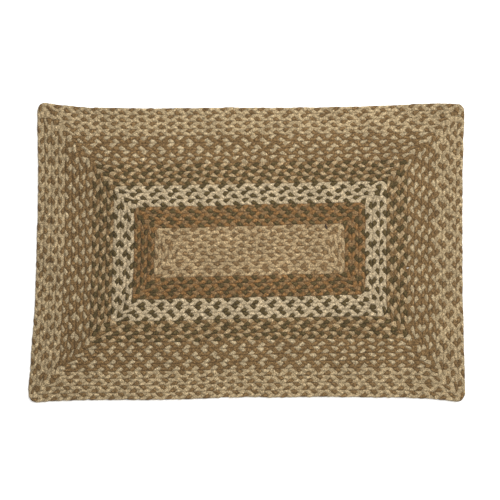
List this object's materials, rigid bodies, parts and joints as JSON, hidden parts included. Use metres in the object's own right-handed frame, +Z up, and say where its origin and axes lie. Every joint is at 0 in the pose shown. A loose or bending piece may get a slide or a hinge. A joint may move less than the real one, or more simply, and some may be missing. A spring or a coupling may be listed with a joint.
{
  "type": "rectangular braided jute rug",
  "caption": "Flat rectangular rug of plaited jute braid laid in rounds and sewn edge to edge, in nested bands of brown, cream and olive blends.",
  "frame": {"origin": "on the floor plane, under the middle of the rug's outline", "axes": "+X along the rug's length, +Y across its width towards the back, +Z up"},
  "size_m": [0.7622, 0.5246, 0.009],
  "materials": {
    "wheat_jute": "matte plaited jute, two beige strands and one tan",
    "chestnut_jute": "matte plaited jute, one olive, one rust and one tan strand",
    "cream_jute": "matte plaited jute, two cream strands and one olive",
    "olive_fleck_jute": "matte plaited jute, one beige, one tan and one olive strand",
    "walnut_jute": "matte plaited jute, two tan strands and one cream",
    "oatmeal_jute": "matte plaited jute, two oatmeal strands and one tan"
  },
  "bodies": {
    "root": {"middle_wheat_braid": "wheat_jute", "chestnut_braid": "chestnut_jute", "cream_braid": "cream_jute", "olive_fleck_braid": "olive_fleck_jute", "walnut_braid": "walnut_jute", "oatmeal_braid": "oatmeal_jute"}
  },
  "joints": []
}
